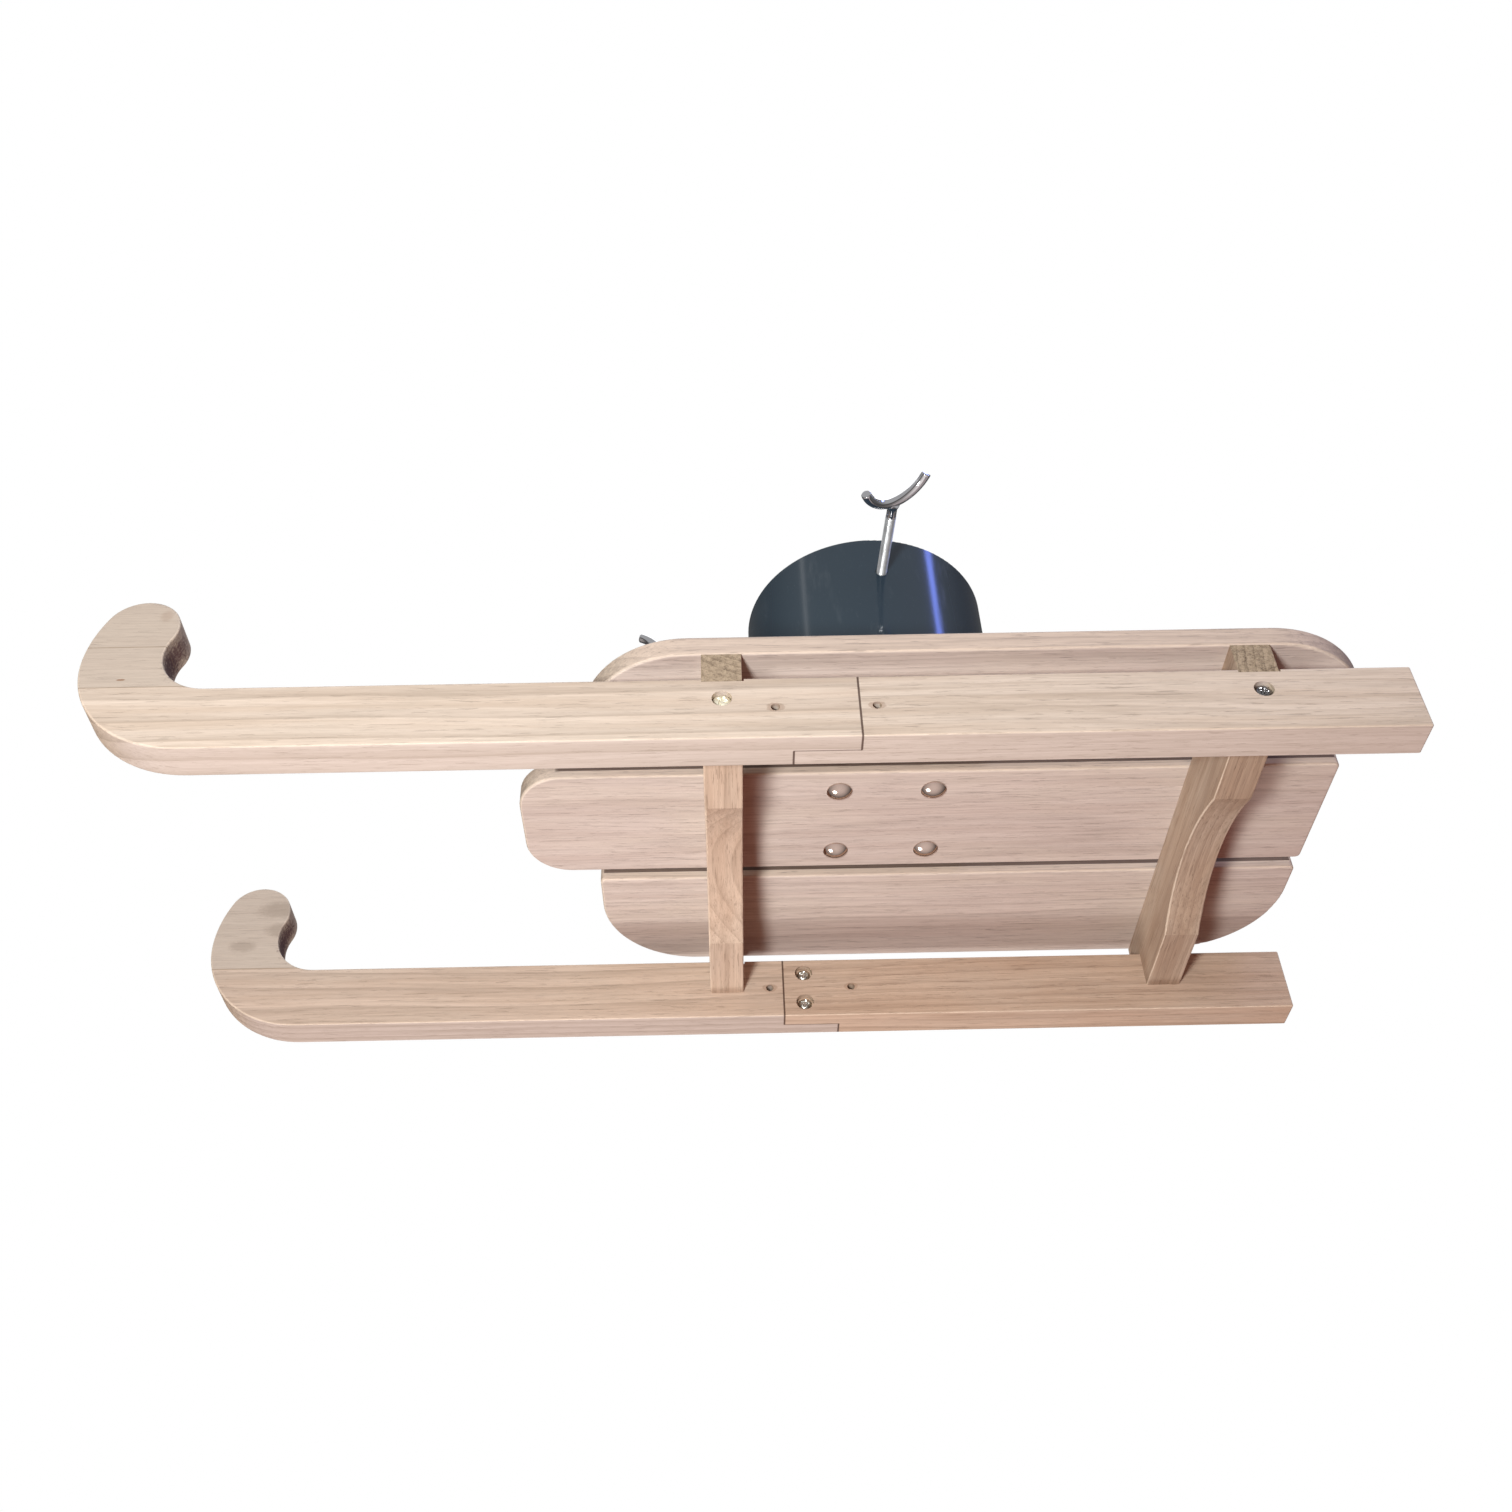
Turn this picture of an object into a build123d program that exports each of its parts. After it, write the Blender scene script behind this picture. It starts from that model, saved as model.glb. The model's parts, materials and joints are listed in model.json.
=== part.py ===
from build123d import *
import os
from math import asin, cos, degrees, radians, sin, sqrt

# A wooden display sled with a clamp cup for a small tree, in millimetres.
# X runs from the curled noses (-X) to the tail (+X), Z is up, and the origin is on the floor, midway
# along the sled and midway between the runners. To a rider who faces the noses, +Y is the right.

# ---- batten and overall sizes ----
sled_len = 658.0        # nose to tail; everything but the curl is placed from the tail
sled_w = 264.0          # over the outer faces of the runners, and over the deck
batten_t = 20.0         # runners and crossbeams are cut from one batten
batten_h = 40.0
arris = 1.0             # rounding of the planed edges

# ---- half lap that joins the two pieces of a runner ----
lap_inset = 288.5       # middle of the lap, from the tail
lap_len = 33.0
cross_hole_offset = 24.6  # plain holes across the runner, in front of and behind the middle of the lap
cross_hole_d = 4.5

# ---- curled nose ----
toe_r = 60.0            # outside of the curl, from the floor up to its foremost point
brow_r = 75.0           # flatter stretch above the foremost point
brow_turn = 25.0        # degrees that the flatter stretch turns through
head_r = 19.5           # rounded end of the curl
hollow_r = 25.0         # inside of the curl
glue_rise = 1.2         # first glue line, above the top of the batten
block_h = 28.4          # height of the lower of the two blocks glued on the left runner

# ---- crossbeams ----
beam_insets = {"front": 339.0, "rear": 75.0}   # middle of each beam, from the tail
deck_rise = 17.0        # underside of the deck, above the runners
notch_depth = 2.0       # the beams sit in shallow notches in the runners
notch_play = 1.0        # a notch is this much longer than the beam is thick
arch_inset = 51.5       # flat foot of a beam, from the runner to the arch
arch_rise = 12.0

# ---- deck ----
slat_t = 13.0
slat_gap = 9.0
slat_edge_r = 1.6
deck_tail_gap = 2.0     # the deck stops this far short of the runners' ends
side_slat_len = 410.5
middle_slat_len = 450.5
side_nose_r = 56.0
side_tail_r = 60.0
middle_nose_r = 25.0
eased_corner_r = 3.0

# ---- wood screws ----
screw_fit = 0.05        # radial gap round every screw and nut bore
tip_gap = 0.3           # between a screw's tip and the bottom of its hole
cross_w = 1.0           # cross recess in the screw heads
cross_share = 0.58      # its span, as a share of the head
cross_depth = 1.5
lap_screw_shift = 3.7   # in front of the middle of the lap
lap_screw_spread = 10.4  # above and below the middle of the batten
lap_screw_cover = 1.7   # wood left beyond the hole of a lap screw
lap_screw_head_d, lap_screw_head_h = 8.0, 3.0
lap_screw_d = 4.0
lap_bore_d, lap_bore_depth = 10.5, 4.0
beam_screw_drop = 1.0   # below the middle of the joint between beam and runner
beam_screw_head_d, beam_screw_head_h = 9.2, 2.8
beam_screw_d, beam_screw_len = 4.0, 48.0
beam_bore_d, beam_bore_depth = 10.0, 3.6
deck_screw_inset = 6.0  # outermost deck screws, from the runners' inner faces
deck_screw_head_d, deck_screw_d, deck_screw_len = 7.5, 3.6, 35.0

# ---- tree cup and its bolts ----
cup_inset = 249.0       # middle of the cup, from the tail
cup_r = 72.5
cup_h = 144.0
cup_wall = 3.0
cup_floor = 3.0
cup_rim_r = 1.0
bolt_pitch = 52.0
bolt_d = 6.0
bolt_head_d, bolt_head_h = 14.0, 3.4
bolt_rim_h = 0.7        # straight edge of the domed head
bolt_neck_h = 4.0
bolt_past_nut = 2.0
bolt_tip_ease = 0.3
bolt_play = 0.3         # radial gap round the bolts in the slat and the cup
washer_d, washer_t = 14.0, 1.2
nut_af, nut_t = 10.0, 5.0

# ---- clamp screws ----
cup_turn = 3.5          # degrees that the clamp holes are turned from square with the sled
clamp_rise = 115.2      # clamp axes above the deck
clamp_d = 6.0
clamp_play = 0.5        # radial gap round the clamp screws in the cup wall
clamp_len = 71.0        # middle of the handle's rod to the shoulder at the tip
neck_len = 7.0          # smooth stretch under the handle
neck_step = 0.15        # the neck is this much thinner than the thread, on the radius
handle_rod_d = 5.6
handle_r = 22.5
handle_half_angle = 65.0
handle_end_r = 0.8
spigot_d, spigot_len = 4.0, 3.0
foot_d, foot_t = 14.0, 5.0
foot_gap = 0.3          # between tip and foot, at the shoulder and at the end of the spigot
foot_ease = 0.8
# name: (direction from the cup, handle's distance from the cup wall, turn of the handle)
clamps = {
    "left": (-90.0, 50.5, 30.0),
    "front": (180.0, 54.5, 102.0),
    "right": (90.0, 50.5, 150.0),
    "rear": (0.0, 50.0, 48.0),
}

# ---- places worked out from the sizes above ----
nose_x = -sled_len / 2
tail_x = sled_len / 2
outer_y = sled_w / 2
inner_y = outer_y - batten_t
lap_x = tail_x - lap_inset
lap_front_x = lap_x - lap_len / 2
lap_rear_x = lap_x + lap_len / 2
half_t = batten_t / 2
glue_z = batten_h + glue_rise
cap_z = glue_z + block_h
lap_screw_x = lap_x - lap_screw_shift
lap_screw_len = batten_t - lap_bore_depth - tip_gap - lap_screw_cover
beams = {name: tail_x - inset for name, inset in beam_insets.items()}
deck_z = batten_h + deck_rise
shoulder_z = batten_h - notch_depth
beam_foot_z = deck_z - batten_h
beam_screw_z = (beam_foot_z + shoulder_z) / 2 - beam_screw_drop
arch_y = inner_y - arch_inset
deck_top = deck_z + slat_t
deck_tail_x = tail_x - deck_tail_gap
slat_w = (sled_w - 2 * slat_gap) / 3
side_slat_y = slat_w + slat_gap
deck_screw_spread = inner_y - deck_screw_inset - side_slat_y   # each side of the middle of a slat
deck_screw_ys = [
    slat_y + way * deck_screw_spread for slat_y in (-side_slat_y, 0, side_slat_y) for way in (-1, 1)
]
cup_x = tail_x - cup_inset
cup_inner_r = cup_r - cup_wall
cup_base_z = deck_top + cup_floor
clamp_z = deck_top + clamp_rise
nut_corner_r = nut_af / sqrt(3)
nut_seat_r = sqrt(cup_inner_r**2 - nut_corner_r**2) - screw_fit
WAYS = (-1, 1)          # left side, right side


def save(builder, label):
    builder.part.label = label
    export_step(builder.part, f"parts/{label}.step")


def across(x, y, z, way):
    """Plane at a point, looking out to the right (way 1) or to the left (way -1)."""
    return Plane(origin=(x, y, z), x_dir=(1, 0, 0), z_dir=(0, way, 0))


def facing_up(x, y, z):
    return Plane(origin=(x, y, z))


def lap_screw_places(depth):
    """Places of the left lap screws, that deep below the runner's inner face."""
    return [
        across(lap_screw_x, -inner_y - depth, batten_h / 2 + way * lap_screw_spread, 1)
        for way in WAYS
    ]


def clamp_plane(direction, reach, turn=0):
    """Plane facing out from the cup along a clamp screw, that far from the cup's axis."""
    angle = radians(direction + cup_turn)
    tilt = radians(turn)
    out = Vector(cos(angle), sin(angle), 0)
    sideways = Vector(-sin(angle), cos(angle), 0)
    return Plane(
        origin=Vector(cup_x, 0, clamp_z) + out * reach,
        x_dir=sideways * cos(tilt) + Vector(0, 0, 1) * sin(tilt),
        z_dir=out,
    )


def pan_head_screw(head_d, head_h, shank_d, length):
    """Screw along -Z, with its domed head standing on Z = 0."""
    with BuildPart() as screw:
        with BuildSketch(Plane.XZ):
            with BuildLine():
                dome = ThreePointArc((0, head_h), (head_d * 0.36, head_h * 0.74), (head_d / 2, head_h * 0.3))
                Polyline(
                    dome @ 1, (head_d / 2, 0), (shank_d / 2, 0), (shank_d / 2, shank_d - length),
                    (0, -length), dome @ 0,
                )
            make_face()
        revolve(axis=Axis.Z)
        cross_recess(head_h, head_d)
    return screw.part


def countersunk_screw(head_d, shank_d, length):
    """Screw along -Z, with the top of its head level with Z = 0."""
    with BuildPart() as screw:
        with BuildSketch(Plane.XZ):
            with BuildLine():
                Polyline(
                    (0, 0), (head_d / 2, 0), (shank_d / 2, (shank_d - head_d) / 2),
                    (shank_d / 2, shank_d - length), (0, -length), close=True,
                )
            make_face()
        revolve(axis=Axis.Z)
        cross_recess(0, head_d)
    return screw.part


def cross_recess(top_z, head_d):
    """Cuts a cross into the head of the screw that is being built."""
    top_middle = (Align.CENTER, Align.CENTER, Align.MAX)
    with Locations((0, 0, top_z)):
        Box(head_d * cross_share, cross_w, cross_depth, align=top_middle, mode=Mode.SUBTRACT)
        Box(cross_w, head_d * cross_share, cross_depth, align=top_middle, mode=Mode.SUBTRACT)


def hex_nut(thread_d):
    """Nut for a screw of that diameter, standing on Z = 0."""
    with BuildPart() as nut:
        with BuildSketch():
            RegularPolygon(nut_af / 2, 6, major_radius=False)
            Circle(thread_d / 2 + screw_fit, mode=Mode.SUBTRACT)
        extrude(amount=nut_t)
    return nut.part


def beam_joint(x):
    """Cuts the notch for a crossbeam and the hole for its screw into a left runner."""
    with Locations((x - half_t, -inner_y, shoulder_z)):
        Box(
            batten_t + notch_play, batten_t, batten_h,
            align=(Align.MIN, Align.MAX, Align.MIN), mode=Mode.SUBTRACT,
        )
    with Locations(across(x, -outer_y, beam_screw_z, -1)):
        CounterBoreHole(beam_screw_d / 2 + screw_fit, beam_bore_d / 2, beam_bore_depth, batten_t)


os.makedirs("parts", exist_ok=True)

# ---- front piece of a left runner, still in one with the blocks of its curl ----
with BuildPart() as front_blank:
    with BuildSketch(Plane.XZ.offset(inner_y)):
        with BuildLine():
            toe = JernArc((nose_x + toe_r, 0), (-1, 0), toe_r, -90)
            brow = JernArc(toe @ 1, toe % 1, brow_r, -brow_turn)
            head_z = (brow @ 1).Y - head_r * sin(radians(brow_turn))
            # the hollow runs out level with the top of the batten
            lean = degrees(asin((head_z - hollow_r - batten_h) / (head_r + hollow_r)))
            head = JernArc(brow @ 1, brow % 1, head_r, brow_turn - 180 - lean)
            hollow = JernArc(head @ 1, head % 1, hollow_r, 90 + lean)
            Polyline(hollow @ 1, (lap_rear_x, batten_h), (lap_rear_x, 0), toe @ 0)
        make_face()
    extrude(amount=batten_t)
    side_faces = front_blank.faces().filter_by(Axis.Y)
    fillet(side_faces.edges().filter_by(Axis.Z, reverse=True), arris)

with BuildPart() as runner_front_left:
    add(front_blank.part)
    split(bisect_by=Plane.XY.offset(glue_z), keep=Keep.BOTTOM)
    # the tongue of the lap keeps the outer half of the batten
    with BuildSketch():
        with Locations((lap_front_x, -inner_y)):
            Rectangle(lap_len, half_t, align=(Align.MIN, Align.MAX))
    extrude(amount=batten_h, mode=Mode.SUBTRACT)
    beam_joint(beams["front"])
    with Locations(across(lap_x - cross_hole_offset, -inner_y, batten_h / 2, 1)):
        Hole(cross_hole_d / 2, batten_t)
    with Locations(*lap_screw_places(half_t)):
        Hole(lap_screw_d / 2 + screw_fit, lap_bore_depth + lap_screw_len - half_t + tip_gap)

with BuildPart() as nose_block_left:
    add(front_blank.part)
    split(bisect_by=Plane.XY.offset(glue_z), keep=Keep.TOP)
    split(bisect_by=Plane.XY.offset(cap_z), keep=Keep.BOTTOM)

with BuildPart() as nose_cap_left:
    add(front_blank.part)
    split(bisect_by=Plane.XY.offset(cap_z), keep=Keep.TOP)

with BuildPart() as runner_front_right:
    mirror(runner_front_left.part, about=Plane.XZ)

# the right curl is built up from one thick block
with BuildPart() as nose_block_right:
    mirror(front_blank.part, about=Plane.XZ)
    split(bisect_by=Plane.XY.offset(glue_z), keep=Keep.TOP)

# ---- rear piece of a runner: its tongue is the inner half of the batten ----
with BuildPart() as runner_rear_left:
    with BuildSketch():
        with Locations((lap_front_x, -inner_y)):
            Rectangle(tail_x - lap_front_x, batten_t, align=(Align.MIN, Align.MAX))
    extrude(amount=batten_h)
    tail_end = runner_rear_left.faces().sort_by(Axis.X)[-1]
    fillet(runner_rear_left.edges().filter_by(Axis.X) + tail_end.edges(), arris)
    with BuildSketch():
        with Locations((lap_front_x, -outer_y)):
            Rectangle(lap_len, half_t, align=(Align.MIN, Align.MIN))
    extrude(amount=batten_h, mode=Mode.SUBTRACT)
    beam_joint(beams["rear"])
    with Locations(across(lap_x + cross_hole_offset, -inner_y, batten_h / 2, 1)):
        Hole(cross_hole_d / 2, batten_t)
    with Locations(*lap_screw_places(0)):
        CounterBoreHole(lap_screw_d / 2 + screw_fit, lap_bore_d / 2, lap_bore_depth, half_t)

with BuildPart() as runner_rear_right:
    mirror(runner_rear_left.part, about=Plane.XZ)

save(runner_front_left, "runner_front_left")
save(runner_front_right, "runner_front_right")
save(nose_block_left, "nose_block_left")
save(nose_cap_left, "nose_cap_left")
save(nose_block_right, "nose_block_right")
save(runner_rear_left, "runner_rear_left")
save(runner_rear_right, "runner_rear_right")

# ---- lap screws, driven from between the runners ----
lap_screw = pan_head_screw(lap_screw_head_d, lap_screw_head_h, lap_screw_d, lap_screw_len)
with BuildPart() as lap_screws_left:
    with Locations(*lap_screw_places(lap_bore_depth)):
        add(lap_screw)
with BuildPart() as lap_screws_right:
    mirror(lap_screws_left.part, about=Plane.XZ)
save(lap_screws_left, "lap_screws_left")
save(lap_screws_right, "lap_screws_right")

# ---- crossbeams: arched underneath, notched into the runners and butted between them ----
beam_screw = pan_head_screw(beam_screw_head_d, beam_screw_head_h, beam_screw_d, beam_screw_len)
deck_screw = countersunk_screw(deck_screw_head_d, deck_screw_d, deck_screw_len)
for name, x in beams.items():
    with BuildPart() as beam:
        with BuildSketch(Plane.YZ.offset(x - half_t)):
            with BuildLine():
                half = Polyline(
                    (0, deck_z), (outer_y, deck_z), (outer_y, shoulder_z), (inner_y, shoulder_z),
                    (inner_y, beam_foot_z), (arch_y, beam_foot_z),
                )
                mirror(half, about=Plane.YZ)
                ThreePointArc((arch_y, beam_foot_z), (0, beam_foot_z + arch_rise), (-arch_y, beam_foot_z))
            make_face()
        extrude(amount=batten_t)
        # only the lower outline is eased: the faces that meet the deck and the runners stay sharp
        lower = beam.faces().filter_by(Axis.X).edges().filter_by(Axis.Z, reverse=True)
        fillet(lower.filter_by_position(Axis.Z, 0, shoulder_z - arris), arris)
        with Locations(*[across(x, way * inner_y, beam_screw_z, way) for way in WAYS]):
            Hole(beam_screw_d / 2 + screw_fit, beam_screw_len + beam_bore_depth - batten_t + tip_gap)
        with Locations(*[facing_up(x, y, deck_z) for y in deck_screw_ys]):
            Hole(deck_screw_d / 2 + screw_fit, deck_screw_len - slat_t + tip_gap)
    save(beam, f"crossbeam_{name}")

    with BuildPart() as beam_screws:
        with Locations(*[across(x, way * (outer_y - beam_bore_depth), beam_screw_z, way) for way in WAYS]):
            add(beam_screw)
    save(beam_screws, f"beam_screws_{name}")

    with BuildPart() as deck_screws:
        with Locations(*[facing_up(x, y, deck_top) for y in deck_screw_ys]):
            add(deck_screw)
    save(deck_screws, f"deck_screws_{name}")


def deck_screw_holes(slat_y):
    """Countersunk holes for the deck screws in the slat whose middle is at slat_y."""
    places = [
        facing_up(x, slat_y + way * deck_screw_spread, deck_top) for x in beams.values() for way in WAYS
    ]
    with Locations(*places):
        CounterSinkHole(deck_screw_d / 2 + screw_fit, deck_screw_head_d / 2 + screw_fit, slat_t, 90)


# ---- deck slats: the middle one reaches further forward ----
with BuildPart() as deck_slat_left:
    with BuildSketch(Plane.XY.offset(deck_z)) as outline:
        with Locations((deck_tail_x, -side_slat_y)):
            Rectangle(side_slat_len, slat_w, align=(Align.MAX, Align.CENTER))
        fillet(outline.vertices().group_by(Axis.Y)[0].sort_by(Axis.X)[0], side_nose_r)
        fillet(outline.vertices().group_by(Axis.Y)[0].sort_by(Axis.X)[-1], side_tail_r)
        fillet(outline.vertices().group_by(Axis.Y)[-1], eased_corner_r)
    extrude(amount=slat_t)
    fillet(deck_slat_left.faces().filter_by(Axis.Z).edges(), slat_edge_r)
    deck_screw_holes(-side_slat_y)

with BuildPart() as deck_slat_right:
    mirror(deck_slat_left.part, about=Plane.XZ)

bolt_places = [
    (cup_x + way_x * bolt_pitch / 2, way_y * bolt_pitch / 2) for way_x in WAYS for way_y in WAYS
]
with BuildPart() as deck_slat_middle:
    with BuildSketch(Plane.XY.offset(deck_z)) as outline:
        with Locations((deck_tail_x, 0)):
            Rectangle(middle_slat_len, slat_w, align=(Align.MAX, Align.CENTER))
        fillet(outline.vertices().group_by(Axis.X)[0], middle_nose_r)
        fillet(outline.vertices().group_by(Axis.X)[-1], eased_corner_r)
    extrude(amount=slat_t)
    fillet(deck_slat_middle.faces().filter_by(Axis.Z).edges(), slat_edge_r)
    deck_screw_holes(0)
    with Locations(*[facing_up(x, y, deck_top) for x, y in bolt_places]):
        Hole(bolt_d / 2 + bolt_play, slat_t)
    # square sockets that keep the bolts from turning
    with BuildSketch(Plane.XY.offset(deck_z)):
        with Locations(*bolt_places):
            Rectangle(bolt_d + 2 * screw_fit, bolt_d + 2 * screw_fit)
    extrude(amount=bolt_neck_h + tip_gap, mode=Mode.SUBTRACT)

save(deck_slat_left, "deck_slat_left")
save(deck_slat_right, "deck_slat_right")
save(deck_slat_middle, "deck_slat_middle")

# ---- tree cup: a plain pot with four holes in its floor and four in its wall ----
with BuildPart() as tree_cup:
    with BuildSketch(Plane.XY.offset(deck_top)):
        with Locations((cup_x, 0)):
            Circle(cup_r)
    extrude(amount=cup_h)
    with BuildSketch(Plane.XY.offset(cup_base_z)):
        with Locations((cup_x, 0)):
            Circle(cup_inner_r)
    extrude(amount=cup_h, mode=Mode.SUBTRACT)
    fillet(tree_cup.edges().group_by(Axis.Z)[-1], cup_rim_r)
    with Locations(*[facing_up(x, y, cup_base_z) for x, y in bolt_places]):
        Hole(bolt_d / 2 + bolt_play, cup_floor)
    with Locations(*[clamp_plane(direction, cup_r + cup_wall) for direction, _, _ in clamps.values()]):
        Hole(clamp_d / 2 + clamp_play, 3 * cup_wall)
save(tree_cup, "tree_cup")

# ---- cup bolts: domed heads and square necks under the slat, washers and nuts in the cup ----
with BuildPart() as bolt:
    dome_r = ((bolt_head_d / 2) ** 2 + (bolt_head_h - bolt_rim_h) ** 2) / (2 * (bolt_head_h - bolt_rim_h))
    with BuildSketch(Plane.XZ):
        with BuildLine():
            side = Polyline(
                (0, bolt_neck_h), (bolt_d / 2, bolt_neck_h), (bolt_d / 2, 0), (bolt_head_d / 2, 0),
                (bolt_head_d / 2, -bolt_rim_h),
            )
            dome = RadiusArc(side @ 1, (0, -bolt_head_h), dome_r)
            Line(dome @ 1, side @ 0)
        make_face()
    revolve(axis=Axis.Z)
    with BuildSketch():
        Rectangle(bolt_d, bolt_d)
    extrude(amount=bolt_neck_h)
    with BuildSketch(Plane.XY.offset(bolt_neck_h)):
        Circle(bolt_d / 2)
    extrude(amount=cup_base_z + washer_t + nut_t + bolt_past_nut - deck_z - bolt_neck_h)
    chamfer(bolt.edges().group_by(Axis.Z)[-1], bolt_tip_ease)

with BuildPart() as washer:
    with BuildSketch():
        Circle(washer_d / 2)
        Circle(bolt_d / 2 + screw_fit, mode=Mode.SUBTRACT)
    extrude(amount=washer_t)

for piece, z, label in (
    (bolt.part, deck_z, "cup_bolts"),
    (washer.part, cup_base_z, "cup_washers"),
    (hex_nut(bolt_d), cup_base_z + washer_t, "cup_nuts"),
):
    with BuildPart() as group:
        with Locations(*[facing_up(x, y, z) for x, y in bolt_places]):
            add(piece)
    save(group, label)

# ---- nuts held inside the cup wall for the clamp screws ----
clamp_nut = hex_nut(clamp_d)
with BuildPart() as clamp_nuts:
    with Locations(*[clamp_plane(direction, nut_seat_r - nut_t) for direction, _, _ in clamps.values()]):
        add(clamp_nut)
save(clamp_nuts, "clamp_nuts")

# ---- clamp screws: threaded rods with half-ring handles ----
# Z points out from the cup, and the origin is in the middle of the handle's rod.
rod_r = handle_rod_d / 2
neck_r = clamp_d / 2 - neck_step
neck_end_z = -rod_r - neck_len
spigot_end_z = -clamp_len - spigot_len
with BuildPart() as clamp_rod:
    with BuildSketch(Plane.XZ):
        with BuildLine():
            Polyline(
                (0, 0), (neck_r, 0), (neck_r, neck_end_z), (clamp_d / 2, neck_end_z),
                (clamp_d / 2, -clamp_len), (spigot_d / 2, -clamp_len), (spigot_d / 2, spigot_end_z),
                (0, spigot_end_z), close=True,
            )
        make_face()
    revolve(axis=Axis.Z)
    with BuildLine(Plane.XZ) as ring:
        CenterArc((0, handle_r), handle_r, -90 - handle_half_angle, 2 * handle_half_angle)
    with BuildSketch(Plane(origin=ring.line @ 0, z_dir=ring.line % 0)):
        Circle(rod_r)
    sweep(path=ring.line)
    ring_ends = clamp_rod.faces().filter_by(GeomType.PLANE).sort_by(Axis.Z)[-2:]
    fillet(ring_ends.edges(), handle_end_r)

# ---- feet that swivel on the tips of the clamp screws ----
foot_top_z = -clamp_len - foot_gap
with BuildPart() as clamp_foot:
    with BuildSketch(Plane.XY.offset(foot_top_z)):
        Circle(foot_d / 2)
    extrude(amount=-foot_t)
    chamfer(clamp_foot.edges(), foot_ease)
    with Locations((0, 0, foot_top_z)):
        Hole(spigot_d / 2 + screw_fit, spigot_len)

for name, (direction, stand_off, turn) in clamps.items():
    handle_seat = clamp_plane(direction, cup_r + stand_off, turn)
    for piece, label in ((clamp_rod, "clamp_screw"), (clamp_foot, "clamp_foot")):
        with BuildPart() as placed:
            with Locations(handle_seat):
                add(piece.part)
        save(placed, f"{label}_{name}")
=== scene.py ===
# %% [markdown]
# # A display sled with a clamp cup for a small tree
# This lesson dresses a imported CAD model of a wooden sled. The wood keeps its CAD shape and gets a
# finish worked out from how boards are sawn. The metal that people touch, such as the clamp
# screws, is built again as fine surfaces with real threads. Everything is in metres, in the
# frame of the CAD model: X runs from the noses to the tail, Y to the rider's right, Z up.

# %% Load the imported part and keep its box
import json
import math

import bpy
import numpy as np
from mathutils import Matrix, Vector


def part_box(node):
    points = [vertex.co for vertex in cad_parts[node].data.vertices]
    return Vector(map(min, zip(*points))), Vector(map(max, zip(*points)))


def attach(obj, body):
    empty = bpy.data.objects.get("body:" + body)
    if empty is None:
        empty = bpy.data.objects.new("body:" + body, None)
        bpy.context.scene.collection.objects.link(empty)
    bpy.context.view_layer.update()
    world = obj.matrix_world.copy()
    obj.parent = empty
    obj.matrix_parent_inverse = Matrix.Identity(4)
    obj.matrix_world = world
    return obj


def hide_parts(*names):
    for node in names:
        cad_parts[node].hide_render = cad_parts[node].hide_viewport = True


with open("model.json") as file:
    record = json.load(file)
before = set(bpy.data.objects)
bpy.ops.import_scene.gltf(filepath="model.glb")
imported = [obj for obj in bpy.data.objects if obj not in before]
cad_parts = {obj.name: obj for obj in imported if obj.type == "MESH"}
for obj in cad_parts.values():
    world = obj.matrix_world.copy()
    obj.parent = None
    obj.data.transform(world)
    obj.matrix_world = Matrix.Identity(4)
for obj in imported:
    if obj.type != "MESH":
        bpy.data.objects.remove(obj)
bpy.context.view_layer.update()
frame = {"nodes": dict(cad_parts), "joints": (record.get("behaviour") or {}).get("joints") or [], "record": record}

MM = 0.001
nodes = frame["nodes"]
print("CAD pieces:", len(nodes))

# %% [markdown]
# ## Finishes as sums
# A finish in Blender is a graph of nodes, which could be drawn by hand or added one by one. Sums
# read better as Python, so a small class wraps a node's output and turns `1 - mask` or
# `rings * 0.3` into Math nodes.

# %% Sums on a node's output
class Value:
    """An output of a node, which can be added, taken away, multiplied, divided and raised."""

    def __init__(self, finish, socket):
        self.finish = finish
        self.socket = socket

    def out(self, name):
        """Another output of the same node."""
        return Value(self.finish, self.socket.node.outputs[name])

    def _math(self, operation, first, second=0.0):
        return self.finish.add("Math", {"operation": operation}, {0: first, 1: second})

    def __add__(self, other):
        return self._math("ADD", self, other)

    def __radd__(self, other):
        return self._math("ADD", other, self)

    def __sub__(self, other):
        return self._math("SUBTRACT", self, other)

    def __rsub__(self, other):
        return self._math("SUBTRACT", other, self)

    def __mul__(self, other):
        return self._math("MULTIPLY", self, other)

    def __rmul__(self, other):
        return self._math("MULTIPLY", other, self)

    def __truediv__(self, other):
        return self._math("DIVIDE", self, other)

    def __pow__(self, other):
        return self._math("POWER", self, other)

    def __abs__(self):
        return self._math("ABSOLUTE", self)


print("a node's output now takes + - * / ** and abs")

# %% [markdown]
# All other nodes come from one method, which takes the node's kind, its settings and its inputs.
# The shapes that patterns are made of, such as a soft step, a noise, an oval and a box, get a
# method each, so that a finish reads as a list of what is seen on the surface.

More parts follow.
